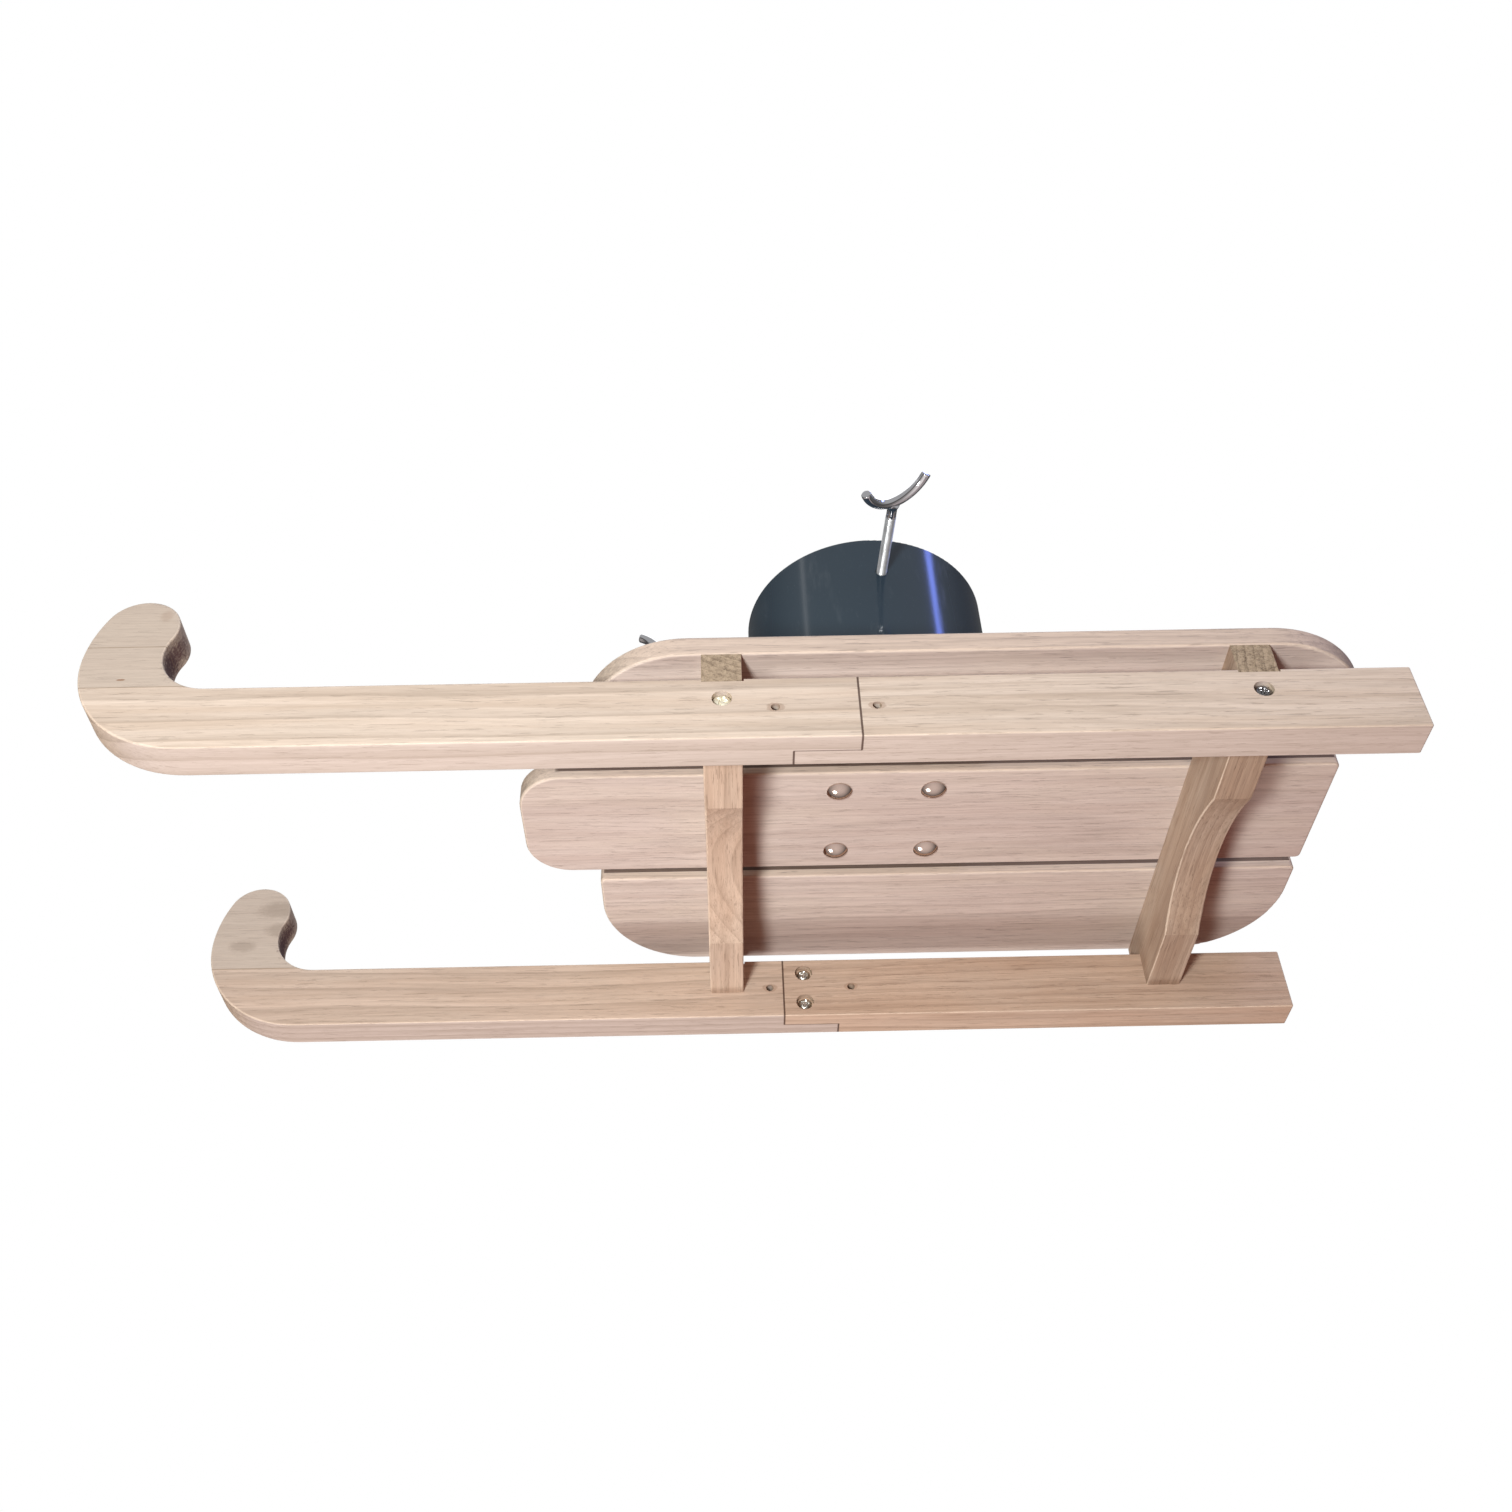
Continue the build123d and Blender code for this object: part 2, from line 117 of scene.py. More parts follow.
# %% A material written as node expressions
class Finish:
    """A material, or the world, that is written as node expressions."""

    def __init__(self, name, owner=None):
        self.material = owner or bpy.data.materials.new(name)
        self.material.use_nodes = True
        self.tree = self.material.node_tree
        self.tree.nodes.clear()

    def add(self, kind, settings=None, inputs=None, output=0):
        """Adds a node, sets its settings and then its inputs, and gives back one output."""
        node = self.tree.nodes.new("ShaderNode" + kind)
        for key, setting in (settings or {}).items():
            if key == "stops":
                self.set_stops(node.color_ramp, setting)
            else:
                setattr(node, key, setting)
        for key, value in (inputs or {}).items():
            if isinstance(value, Value):
                self.tree.links.new(value.socket, node.inputs[key])
            else:
                node.inputs[key].default_value = value
        return Value(self, node.outputs[output]) if node.outputs else None

    @staticmethod
    def set_stops(ramp, stops):
        """Fills a colour ramp with pairs of place and grey level."""
        while len(ramp.elements) < len(stops):
            ramp.elements.new(1.0)
        for element, (place, level) in zip(ramp.elements, stops):
            element.position = place
            element.color = (level, level, level, 1.0)

    def mix(self, share, first, second, how="MIX"):
        """Colour between two colours; a share of 0 is the first."""
        settings = {"data_type": "RGBA", "blend_type": how, "clamp_factor": True}
        return self.add("Mix", settings, {0: share, 6: first, 7: second}, output=2)

    def rise(self, value, low, high):
        """0 below low, 1 above high, and a smooth step between them."""
        settings = {"interpolation_type": "SMOOTHSTEP"}
        return self.add("MapRange", settings, {0: value, 1: low, 2: high})

    def vector(self, operation, first, second=(0.0, 0.0, 0.0), output=0):
        return self.add("VectorMath", {"operation": operation}, {0: first, 1: second}, output)

    def noise(self, place, stretch, detail=2.0, roughness=0.5):
        """Soft noise from 0 to 1; stretch gives how many features fit in a metre each way."""
        inputs = {"Vector": self.vector("MULTIPLY", place, stretch), "Scale": 1.0,
                  "Detail": detail, "Roughness": roughness}
        return self.add("TexNoise", {"noise_dimensions": "3D"}, inputs)

    def flecks(self, place, stretch, low, high, detail=3.0, roughness=0.6):
        """Noise cut into flecks: 0 where it is below low and 1 where it is above high."""
        return self.rise(self.noise(place, stretch, detail, roughness), low, high)

    def bump(self, strength, distance, height):
        settings = {"Strength": strength, "Distance": distance, "Height": height}
        return self.add("Bump", {}, settings)

    def spot(self, place, centre, reach, soft):
        """1 inside an oval round a point and 0 outside it; reach is its half-size each way."""
        away = self.vector("DIVIDE", self.vector("SUBTRACT", place, centre), reach)
        return 1.0 - self.rise(self.vector("LENGTH", away, output="Value"), 1.0 - soft, 1.0 + soft)

    def crate(self, place, low, high, soft=0.15 * MM):
        """1 inside a box and 0 outside it: the product of a step along each axis."""
        half = tuple((b - a) / 2 for a, b in zip(low, high))
        centre = tuple((a + b) / 2 for a, b in zip(low, high))
        away = self.vector("ABSOLUTE", self.vector("SUBTRACT", place, centre))
        over = self.add("SeparateXYZ", {}, {0: self.vector("SUBTRACT", away, half)})
        along_x, along_y, along_z = (1.0 - self.rise(over.out(axis), -soft, soft) for axis in "XYZ")
        return along_x * along_y * along_z

    def principled(self, **inputs):
        """Ends the graph in a Principled shader; names have _ for a space."""
        named = {key.replace("_", " "): value for key, value in inputs.items()}
        surface = self.add("BsdfPrincipled", {}, named)
        self.add("OutputMaterial", {}, {"Surface": surface})
        return self.material


def linear(red, green, blue):
    """A colour given from 0 to 255, as linear light with alpha 1.

    Each channel c / 255 is taken to the power 2.2, the usual curve of a screen.
    """
    return tuple((channel / 255) ** 2.2 for channel in (red, green, blue)) + (1.0,)


HALF = (0.5, 0.5, 0.5)
print("a screen's middle grey as linear light:", round(linear(128, 128, 128)[0], 3))

# %% [markdown]
# ## How wood grows
# The sled is planed softwood with a thin grey-beige wash. A tree grows in rings round its pith,
# and sawing cuts them: the distance from a line, the pith, gives the rings on every face of a
# board at once, long curves on its sides and arcs on its ends. An image could not wrap round
# the curls without a seam, so the pattern is solid and worked out in space. A slow noise bends
# the board's points first, because no tree is straight.

# %% Growth rings
SWAY = 14 * MM               # how far the fibres wander, from one side to the other
LATE_WOOD = [(0.0, 0.0), (0.3, 0.1), (0.8, 0.55), (0.93, 1.0), (1.0, 0.0)]


def growth_rings(finish, board, ring):
    """The board's points, bent by a slow noise, and how dark the ring is that each lies in.

    The ring is the fraction of the distance from the pith / ring. It grows dark slowly, like
    summer wood, and stops at once, where the winter came.
    """
    wander = finish.noise(board, (2.6, 12, 12)).out("Color")
    sway = finish.vector("MULTIPLY", finish.vector("SUBTRACT", wander, HALF), (0.0, SWAY, SWAY))
    bent = finish.vector("ADD", board, sway)
    across = finish.add("SeparateXYZ", {}, {0: bent})
    from_pith = (across.out("Y") ** 2.0 + across.out("Z") ** 2.0) ** 0.5
    share = finish.add("Math", {"operation": "FRACT"}, {0: from_pith / ring})
    return bent, finish.add("ValToRGB", {"stops": LATE_WOOD}, {0: share})


print("stops over one growth ring:", len(LATE_WOOD))

# %% [markdown]
# ## Wear, stains and painted light
# The wash is rubbed off where hands and sandpaper pass, which is along the edges, and the same pale
# colour paints the highlight that a rounded edge catches. An edge could be found from the mesh's
# curvature, but the direction of the surface does it too: on a rounded edge it lies between two
# axes. Stains, glue lines, torn fibres and painted shade are ovals and thin boxes in space, with a
# noise that frays them, so they run on over the corners of a board.

# %% Edge wear with a painted highlight, stains and painted shade
# The soil colour is dirt in the lap joints and painted shade in the gaps between the slats.
SOIL_AND_SHADE = linear(66, 42, 34)
# The rubbed colour is worn wash and also a painted highlight on the rounded edges.
RUBBED_AND_LIT = linear(246, 232, 210)


def edge_wear_and_highlight(finish, board, to_face, to_end):
    """1 on rubbed edges with a painted highlight: n sqrt(1 - n^2) is 0 on a face, where n is 0 or 1, and 1/2
    halfway.
    """
    ridge = [one * (1.0 - one**2.0) ** 0.5 for one in (to_face, to_end)]
    fray = finish.noise(board, (90, 400, 400), 3.0, 0.6) * 0.5 - 0.25
    return finish.rise(ridge[0] + ridge[1] * 0.7 + fray, 0.3, 0.52)


def stained_and_shaded(finish, colour, place, marks, lines):
    """The colour with its stains and painted shade: a mark is a frayed oval, and a line a box between two corners.
    """
    frayed = finish.noise(place, (420, 700, 700), 3.0, 0.7).out("Color")
    frayed = finish.vector("SUBTRACT", frayed, HALF)
    for at, reach, soft, depth, tone in marks:
        spread = finish.vector("MULTIPLY", frayed, tuple(size * 0.9 for size in reach))
        near = finish.spot(finish.vector("ADD", place, spread), at, reach, soft)
        colour = finish.mix(near * depth, colour, tone)
    for low, high, depth, tone in lines:
        colour = finish.mix(finish.crate(place, low, high) * depth, colour, tone)
    return colour


print("a mark has 5 values and a line 4")

# %% [markdown]
# ## The whole finish of a board
# The fibres run along the board, so every noise is stretched along it: broad streaks, fine
# grain, short dark pores and a hint of cloud where the wash lies thicker. End grain drinks in
# the dirt and goes dark. A few tones and a pith of its own make each board a different one
# while the rule stays the same, which is how real boards from one stack look.

# %% Wood finish
CLOUD = linear(208, 196, 180)
END_PALE, END_DARK = linear(188, 170, 144), linear(88, 74, 56)


def wood(name, pale, tan, turn=(0, 0, 0), pith=(0.06, -0.05), ring=4.2 * MM, seed=0.0, flat=1, ends=0,
         figure=0.3, blotch=0.35, bands=0.5, rub=0.32, grainy=1.0, painted_face_shading=None,
         marks=(), lines=(), end_dark=0.6):
    """Sawn and washed wood.

    turn brings the board's length to X. pith is where the middle of the tree lies, across the
    board. flat is the axis that the widest faces look along, and ends the axis of the grain.
    The face argument gives an axis and a colour painted on the faces along it, as painted light and shade.
    """
    finish = Finish(name)
    coords = finish.add("TexCoord")
    place = coords.out("Object")
    facing = finish.add("SeparateXYZ", {}, {0: coords.out("Normal")})
    look = [abs(facing.out(axis)) for axis in "XYZ"]
    centred = {"Vector": place, "Rotation": turn, "Location": (seed, -pith[0], -pith[1])}
    board = finish.add("Mapping", {}, centred)
    bent, rings = growth_rings(finish, board, ring)

    streaks = finish.flecks(bent, (4.5, 150, 150), 0.36, 0.66)
    grain = finish.flecks(bent, (11, 620, 620), 0.44, 0.64, roughness=0.62)
    fibres = finish.noise(board, (60, 2100, 2100), 2.0, 0.7)
    dashes = finish.flecks(board, (48, 900, 900), 0.61, 0.67)
    ticks = finish.flecks(board, (110, 1500, 1500), 0.62, 0.7, detail=2.0)
    clouds = finish.flecks(board, (8, 26, 26), 0.4, 0.7, detail=4.0)
    pores = finish.flecks(board, (300, 1300, 1300), 0.48, 0.66, roughness=0.7)
    end_streaks = finish.flecks(bent, (5, 420, 420), 0.42, 0.64)

    shade = tuple(channel * 0.5 for channel in tan[:3]) + (1.0,)
    colour = finish.mix(streaks * bands, pale, tan)
    colour = finish.mix(clouds * blotch, colour, CLOUD)
    # Painted light and shade: the faces along one axis take their own colour by the way they look.
    if painted_face_shading:
        axis, tone = painted_face_shading
        colour = finish.mix(finish.rise(look[axis], 0.5, 0.95) * 0.75, colour, tone)
    colour = finish.mix(rings * figure, colour, shade)
    colour = finish.mix(grain * (0.2 * grainy), colour, shade)
    colour = finish.mix(dashes * (0.4 * grainy) + ticks * (0.3 * grainy), colour, shade)
    colour = finish.mix(finish.rise(fibres, 0.3, 0.75) * 0.2, colour, shade)

    end_face = finish.rise(look[ends], 0.3, 0.9)
    end_tone = finish.mix(rings * 0.3 + pores * 0.4 + end_streaks * 0.35, END_PALE, END_DARK)
    colour = finish.mix(end_face * end_dark, colour, end_tone)
    # Pale edges: partly worn wash, partly a painted highlight where a rounded edge catches light.
    worn_and_lit = edge_wear_and_highlight(finish, board, look[flat], look[ends])
    colour = finish.mix(worn_and_lit * rub, colour, RUBBED_AND_LIT)
    # Stains, dark joints, and painted shade in the holes, curls and gaps.
    colour = stained_and_shaded(finish, colour, place, marks, lines)

    height = rings * 0.3 + fibres * 0.5 + dashes * -0.9 + ticks * -0.5 + pores * end_face * -0.6
    return finish.principled(
        Base_Color=colour, Roughness=0.62 + fibres * 0.2 - worn_and_lit * 0.1,
        Normal=finish.bump(0.5, 0.25 * MM, height), Specular_IOR_Level=0.25,
    )


print("end grain darkens to", [round(channel, 3) for channel in END_DARK[:3]])

# %% [markdown]
# ## Where the wood is marked
# Each runner is two battens joined by a half lap, and its nose is built up from glued blocks, so
# thin dark lines show where they meet. Painted shade darkens the cross holes, the insides of the
# curls and the gaps between the slats. All of these places follow from the boxes of the CAD
# pieces, so the lines stay in the joints if the sled changes size.

# %% Joints, and painted shade in holes, curls and gaps
runner_low, runner_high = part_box("runner_front_left")
OUTER, INNER = -runner_low[1], -runner_high[1]           # sides of a runner, from the middle plane
MID = (OUTER + INNER) / 2
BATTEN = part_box("runner_rear_left")[1][2]
LAP_FRONT, LAP_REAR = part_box("runner_rear_left")[0][0], runner_high[0]
NOSE, _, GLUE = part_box("nose_block_left")[0]             # front of the curl, and its lower joint
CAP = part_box("nose_cap_left")[0][2]
# The tear colour is torn wood at the nick and scuff, and painted shade in the cross holes.
TEAR_AND_SHADE = linear(150, 120, 98)
JOINT = linear(130, 108, 84)


def lap_lines(way):
    """Thin dark lines where the two halves of a lap meet, on the left (-1) or the right (1)."""
    half = 0.35 * MM
    top = BATTEN + MM
    outer = sorted((way * MID, way * (OUTER + MM)))
    inner = sorted((way * MID, way * (INNER - MM)))
    return [
        ((LAP_REAR - 2 * half, outer[0], -MM), (LAP_REAR + half, outer[1], top), 0.85, SOIL_AND_SHADE),
        ((LAP_FRONT - half, inner[0], -MM), (LAP_FRONT + 2 * half, inner[1], top), 0.85, SOIL_AND_SHADE),
        ((LAP_FRONT, way * MID - half, -MM), (LAP_REAR, way * MID + half, top), 0.6, SOIL_AND_SHADE),
    ]


def glue_line(height, way):
    """A thin line of glue right through a nose at a height."""
    half = 0.3 * MM
    sides = sorted((way * (OUTER + MM), way * (INNER - MM)))
    low, high = (NOSE - 11 * MM, sides[0], height - half), (NOSE + 59 * MM, sides[1], height + half)
    return low, high, 0.55, JOINT


def hole_painted_shade(x, way):
    """Painted shade in a cross hole: an oval of darker wood along the grain, on both sides."""
    reach = (4.4 * MM, 3 * MM, 2.7 * MM)
    return [((x, way * side, BATTEN / 2), reach, 0.1, 0.4, TEAR_AND_SHADE) for side in (OUTER, INNER)]


def curl_painted_shade(way):
    """Painted shade inside a curl, darkest at the bottom."""
    reach = (13 * MM, 10.5 * MM, 23 * MM)
    return (NOSE + 50 * MM, way * MID, 62 * MM), reach, 0.25, 0.9, linear(80, 52, 54)


def gap_painted_shade():
    """Painted shade deep in the gaps between the slats, as one box across each gap."""
    low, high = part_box("deck_slat_middle")
    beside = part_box("deck_slat_left")[1][1]
    half = (low[1] - beside) / 2 + 0.2 * MM
    gap = (low[1] + beside) / 2
    return [
        ((low[0] - 6.5 * MM, y - half, low[2] + 5.2 * MM), (high[0] + 13 * MM, y + half, high[2] - 1.5 * MM),
         0.8, SOIL_AND_SHADE)
        for y in (gap, -gap)
    ]


cross = next(mount for mount in frame["record"]["mounts"] if mount["name"] == "left_cross_holes")
half_step = cross["dims"]["spacing_x_mm"] * MM / 2
FRONT_HOLE, REAR_HOLE = cross["pos_m"][0] - half_step, cross["pos_m"][0] + half_step
print("lap from", round(LAP_FRONT, 4), "to", round(LAP_REAR, 4), "and holes at", FRONT_HOLE, REAR_HOLE)

# %% [markdown]
# ## Runners and noses
# The runners are pale battens. The left one was sawn far from the pith, so its rings are wide
# and lie along it like contour lines, and the right one is browner and closer grown. The nose
# blocks are greyer, with hardly any figure. On three runner pieces the faces that look down or up
# get a greyer colour, which is painted shade on their undersides.

# %% Runners and noses
BEIGE = linear(232, 217, 200), linear(205, 184, 162)
GREY_BEIGE = linear(203, 190, 175), linear(188, 172, 156)
TAN_BEIGE = linear(218, 197, 178), linear(192, 168, 146)
BROWN = linear(208, 184, 162), linear(180, 152, 130)
GREY_STAIN = linear(150, 136, 122)
# Painted shade: a greyer colour for faces that look down or up, on three runner pieces.
PAINTED_SHADE_UP_DOWN = 2, linear(193, 182, 175)
NICK = (NOSE + 23 * MM, -OUTER, 46.5 * MM), (2.2 * MM, 2 * MM, 0.6 * MM), 0.2, 0.9, TEAR_AND_SHADE
SCUFF = (NOSE + 36 * MM, -OUTER, 92 * MM), (3 * MM, 2 * MM, 4 * MM), 0.5, 0.25, TEAR_AND_SHADE
STAINS = [
    ((NOSE + 38 * MM, INNER, 86 * MM), (13 * MM, 3 * MM, 6 * MM), 0.45, 0.5, GREY_STAIN),
    ((NOSE + 42 * MM, INNER, 70 * MM), (10 * MM, 3 * MM, 5 * MM), 0.45, 0.5, GREY_STAIN),
    ((NOSE + 19 * MM, INNER, 58 * MM), (8 * MM, 3 * MM, 4 * MM), 0.4, 0.45, GREY_STAIN),
]
boards = {
    "runner_front_left": dict(
        tones=BEIGE, painted_face_shading=PAINTED_SHADE_UP_DOWN, pith=(-0.19, 0.066), ring=8.5 * MM, seed=0.31, figure=0.42,
        blotch=0.5, grainy=0.7, rub=0.16,
        marks=hole_painted_shade(FRONT_HOLE, -1), lines=lap_lines(-1) + [glue_line(GLUE, -1)]),
    "nose_block_left": dict(
        tones=GREY_BEIGE, pith=(-0.10, 0.16), seed=1.7, figure=0.06, bands=0.15, grainy=0.3,
        marks=[NICK, curl_painted_shade(-1)], lines=[glue_line(GLUE, -1), glue_line(CAP, -1)]),
    "nose_cap_left": dict(
        tones=GREY_BEIGE, pith=(-0.20, 0.01), seed=2.9, figure=0.05, bands=0.2, grainy=0.3,
        marks=[SCUFF, curl_painted_shade(-1)], lines=[glue_line(CAP, -1)]),
    "runner_front_right": dict(
        tones=TAN_BEIGE, painted_face_shading=PAINTED_SHADE_UP_DOWN, pith=(0.20, -0.02), ring=5.5 * MM, seed=3.3, figure=0.4,
        marks=hole_painted_shade(FRONT_HOLE, 1), lines=lap_lines(1) + [glue_line(GLUE, 1)]),
    "nose_block_right": dict(
        tones=GREY_BEIGE, pith=(0.22, 0.2), seed=4.1, figure=0.06, bands=0.2, blotch=0.5, grainy=0.35,
        marks=STAINS + [curl_painted_shade(1)], lines=[glue_line(GLUE, 1)]),
    "runner_rear_left": dict(
        tones=BEIGE, painted_face_shading=PAINTED_SHADE_UP_DOWN, pith=(-0.21, -0.03), ring=5.0 * MM, seed=5.2, figure=0.2, rub=0.2,
        marks=hole_painted_shade(REAR_HOLE, -1), lines=lap_lines(-1)),
    "runner_rear_right": dict(
        tones=BROWN, pith=(0.17, 0.09), ring=4.5 * MM, seed=6.4, figure=0.3,
        marks=hole_painted_shade(REAR_HOLE, 1), lines=lap_lines(1)),
}
print("runners and noses:", len(boards))

# %% [markdown]
# ## Slats and crossbeams
# The slats are planed thinner from rosier boards. Their edges are pale, partly worn and partly a
# painted highlight, their sides get a paler colour as painted light, and the gaps get painted
# shade. The crossbeams lie across the sled, so their grain is turned to Y, and their sawn ends
# beside the runners are the darkest wood of all.

# %% Slats and crossbeams
ROSE = linear(206, 192, 183), linear(187, 169, 159)
OLIVE = linear(180, 158, 137), linear(154, 128, 108)
ALONG_Y = (0.0, 0.0, math.radians(90))
# Slats: pale edges partly a painted highlight, paler sides as painted light, painted shade in the gaps.
slat = dict(tones=ROSE, flat=2, rub=0.26, painted_face_shading=(1, linear(230, 211, 192)), lines=gap_painted_shade())
beam = dict(turn=ALONG_Y, flat=0, ends=1, figure=0.3)
boards |= {
    "deck_slat_left": slat | dict(pith=(-0.06, -0.02), seed=7.1, figure=0.2),
    "deck_slat_middle": slat | dict(pith=(0.02, 0.17), ring=5.2 * MM, seed=8.6, figure=0.16),
    "deck_slat_right": slat | dict(pith=(0.12, -0.03), ring=4.4 * MM, seed=9.9, figure=0.24),
    "crossbeam_front": beam | dict(tones=BROWN, pith=(0.03, 0.11), seed=10.4, end_dark=0.85),
    "crossbeam_rear": beam | dict(tones=OLIVE, pith=(-0.24, 0.10), seed=11.8, end_dark=0.95),
}


def dress(node, material):
    """Gives a carried-over CAD piece its finish."""
    mesh = nodes[node].data
    mesh.materials.clear()
    mesh.materials.append(material)


for node, looks in boards.items():
    pale, tan = looks.pop("tones")
    dress(node, wood(f"wood_{node}", pale, tan, **looks))
print("boards with their own wood:", len(boards))

# %% [markdown]
# ## The cup and the rubber feet
# The cup is moulded in blue-black plastic with a high gloss. A painted highlight would stay put
# when the view turns, so the gloss is left to the lamps: a low roughness gives sharp
# reflections, and a slow wave in the surface bends them a little, as on a real moulding. Dust
# and rubbed patches dull it here and there. The small feet on the screws are grainy rubber.

# %% Plastic and rubber
def gloss_plastic():
    finish = Finish("cup_gloss_plastic")
    place = finish.add("TexCoord").out("Object")
    waves = finish.noise(place, (22, 22, 5))
    dust = finish.flecks(place, (900, 900, 500), 0.62, 0.8, roughness=0.7)
    rub = finish.flecks(place, (60, 60, 14), 0.55, 0.8, detail=4.0, roughness=0.7)
    return finish.principled(
        Base_Color=finish.mix(dust * 0.1 + rub * 0.08, linear(51, 65, 76), linear(150, 160, 168)),
        Roughness=0.14 + rub * 0.12 + dust * 0.1,
        Normal=finish.bump(0.12, 0.6 * MM, waves + dust * 0.03), Specular_IOR_Level=0.55,
    )


def rubber():
    finish = Finish("foot_rubber")
    place = finish.add("TexCoord").out("Object")
    grain = finish.noise(place, (1600, 1600, 1600), 3.0, 0.7)
    return finish.principled(
        Base_Color=finish.mix(grain * 0.4, linear(38, 38, 38), linear(74, 72, 70)),
        Roughness=0.7, Normal=finish.bump(0.3, 0.1 * MM, grain),
    )


dress("tree_cup", gloss_plastic())
foot_rubber = rubber()
for side in ("left", "front", "right", "rear"):
    dress(f"clamp_foot_{side}", foot_rubber)
print("the cup and four feet are dressed")

# %% [markdown]
# ## Plated metal
# The clamp screws are chromed, the bolts nickel plated, and nuts, washers and wood screws zinc
# plated, one pair with a cream coat. All metals reflect, and they differ in tint, in how rough
# they are and in how far they have gone dull. So one rule makes them all, with a fine grain in
# the bump and dull patches in the colour.

# %% Metals
DULL = linear(90, 84, 76)


def metal(name, tone, roughness, grain=300, uneven=0.1, tarnish=0.25, grit=0.15, metallic=1.0):
    """Plated metal: grain is in features a metre, and uneven how far the roughness strays."""
    finish = Finish(name)
    place = finish.add("TexCoord").out("Object")
    patches = finish.flecks(place, (140, 140, 140), 0.45, 0.75)
    fine = finish.noise(place, (grain, grain, grain), 3.0, 0.7)
    return finish.principled(
        Base_Color=finish.mix(patches * tarnish, tone, DULL), Metallic=metallic,
        Roughness=roughness + fine * uneven, Normal=finish.bump(grit, 0.08 * MM, fine),
    )


chrome = metal("clamp_chrome", linear(232, 232, 236), 0.05, uneven=0.06, tarnish=0.12)
thread_zinc = metal("thread_zinc", linear(226, 228, 230), 0.25, grain=1500, uneven=0.25, grit=0.9)
nickel = metal("bolt_nickel", linear(200, 180, 170), 0.07, uneven=0.08, tarnish=0.2)
zinc = metal("nut_zinc", linear(214, 212, 205), 0.24, uneven=0.15)
cream_zinc = metal("screw_cream_zinc", linear(240, 234, 212), 0.42, uneven=0.15, tarnish=0.12, metallic=0.45)
dark_steel = metal("screw_dark_steel", linear(150, 148, 150), 0.18, uneven=0.12, tarnish=0.4)
dress("cup_washers", zinc)
print("materials so far:", len(bpy.data.materials))

# %% [markdown]
# ## Surfaces from grids
# A turned, threaded or bent piece is a stack of rings: one row of points for each ring, as a
# numpy array. Blender's primitives could be cut and joined instead, but cutting leaves ragged
# faces. The same few lines join any stack into a closed mesh, and a sum over its faces tells
# whether they look outwards.

# %% Rings to a closed mesh
def stack_faces(rows, around, hoop=False):
    """Faces that join each ring of points to the next and close the first and the last ring.

    Point k of ring i has the number i * around + k. In a hoop the last ring is joined to the
    first instead, as round a nut.
    """
    i = np.arange(rows if hoop else rows - 1)[:, None] * around
    k = np.arange(around)[None, :]
    after = (k + 1) % around
    above = (i + around) % (rows * around)
    quads = np.stack([i + k, i + after, above + after, above + k], -1).reshape(-1, 4).tolist()
    if hoop:
        return quads
    return quads + [list(range(around - 1, -1, -1)), list(range((rows - 1) * around, rows * around))]


def outward(points, faces):
    """The same faces, turned over if they look inwards.

    A closed mesh holds the volume sum(a . (b x c)) / 6 over its triangles, which is negative
    when the faces look inwards.
    """
    corners = np.array([face[:3] for face in faces])
    closing = np.array([[face[0], face[2], face[-1]] for face in faces if len(face) == 4])
    triangles = points[np.concatenate([corners, closing])]
    volume = np.einsum("ij,ij->", triangles[:, 0], np.cross(triangles[:, 1], triangles[:, 2]))
    return faces if volume > 0 else [face[::-1] for face in faces]


def spun(radius, height, around):
    """Rings round the Z axis: (r cos a, r sin a, h) over arrays of radius and height."""
    angle = np.linspace(0, 2 * np.pi, around, endpoint=False)[None, :]
    return np.stack([radius * np.cos(angle), radius * np.sin(angle), height + 0 * angle], -1)


def turned(profile, around=32):
    """Rings from a profile of (radius, height) pairs, round the Z axis."""
    profile = np.asarray(profile, float)
    return spun(profile[:, :1], profile[:, 1:], around)


print("faces round a cube's four sides and two ends:", len(stack_faces(2, 4)))

# %% [markdown]
# ## From rings to a piece
# A piece is one mesh made of several closed stacks. It says which CAD piece it stands for, which
# body it moves with and which material slot it fills. Its points are put where they belong in
# the mesh itself, so that the object stays at the origin, and faces that meet at more than 40
# degrees keep a sharp edge.

# %% Build a piece and place rings
SHARP_ABOVE = math.radians(40)


def build(name, stacks, body, replaced, materials, choose=None):
    """Makes one piece from stacks of rings, and lets it ride and stand for its CAD piece.

    choose gives each stack the number of its material. A stack that ends on its own first
    ring becomes a hoop.
    """
    points, faces, finish_numbers = [], [], []
    count = 0
    for number, rings in enumerate(stacks):
        hoop = np.allclose(rings[0], rings[-1])
        rings = rings[:-1] if hoop else rings
        rows, around = rings.shape[:2]
        flat_points = rings.reshape(-1, 3)
        own = outward(flat_points, stack_faces(rows, around, hoop))
        points.append(flat_points)
        faces += [[corner + count for corner in face] for face in own]
        finish_numbers += [choose[number] if choose else 0] * len(own)
        count += len(flat_points)
    mesh = bpy.data.meshes.new(name)
    mesh.from_pydata(np.concatenate(points).tolist(), [], faces)
    mesh.polygons.foreach_set("material_index", finish_numbers)
    for material in materials:
        mesh.materials.append(material)
    mesh.shade_smooth()
    mesh.set_sharp_from_angle(angle=SHARP_ABOVE)
    piece = bpy.data.objects.new(name, mesh)
    bpy.context.scene.collection.objects.link(piece)
    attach(piece, body)
    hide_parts(replaced)
    print(name, "has", len(faces), "faces")


def placed(rings, origin, x_way, z_way):
    """Moves rings from the piece's own frame to a place: z_way is its axis, x_way its X."""
    z_way = np.asarray(z_way, float) / np.linalg.norm(z_way)
    x_way = np.asarray(x_way, float) - np.dot(x_way, z_way) * z_way
    x_way = x_way / np.linalg.norm(x_way)
    turn = np.stack([x_way, np.cross(z_way, x_way), z_way])
    return rings @ turn + np.asarray(origin, float)


